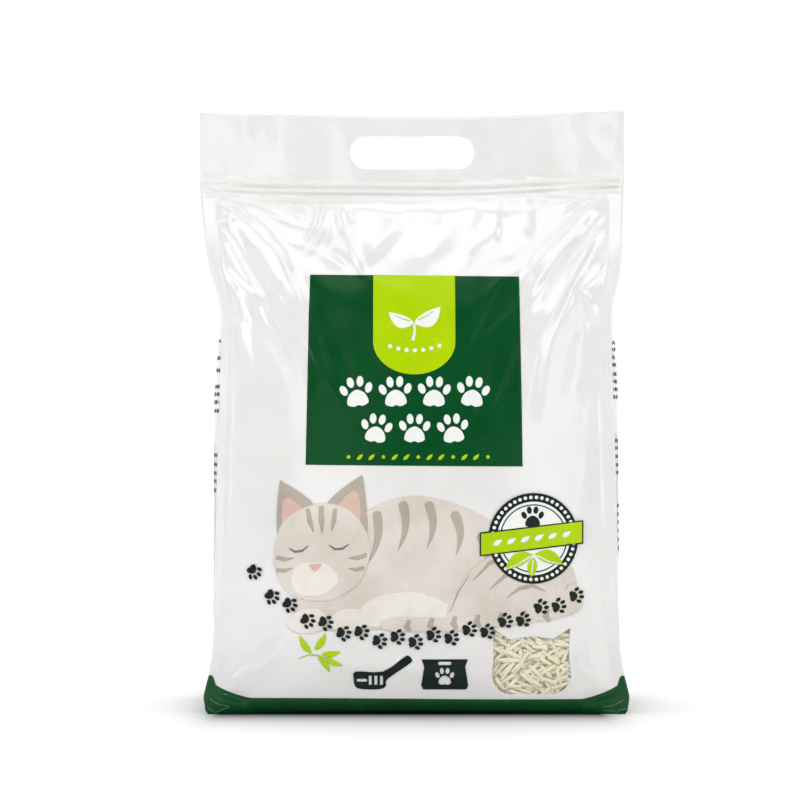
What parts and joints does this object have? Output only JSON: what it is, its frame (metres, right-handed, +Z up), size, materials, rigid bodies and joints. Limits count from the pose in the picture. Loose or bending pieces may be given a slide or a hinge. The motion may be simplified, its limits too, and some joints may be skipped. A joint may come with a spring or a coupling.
{
  "type": "cat litter bag",
  "caption": "Filled, sealed side-gusset film bag of pelleted cat litter with a press-to-close strip, a punched carrying slot in its header and a clear window.",
  "frame": {"origin": "centre of the flat bottom that the bag stands on", "axes": "+Z up, +X to the right of the printed front, front panel towards -Y"},
  "size_m": [0.2656, 0.105, 0.37],
  "materials": {
    "white_film": "glossy white printed polyethylene film",
    "clear_film": "clear unprinted film",
    "litter_pellets": "dry extruded pellets of pressed plant fibre",
    "strip_plastic": "translucent extruded polyethylene"
  },
  "bodies": {
    "root": {"film_envelope": "white_film", "clear_window": "clear_film", "litter": "litter_pellets", "strip_rib": "strip_plastic", "strip_jaws": "strip_plastic"}
  },
  "joints": []
}
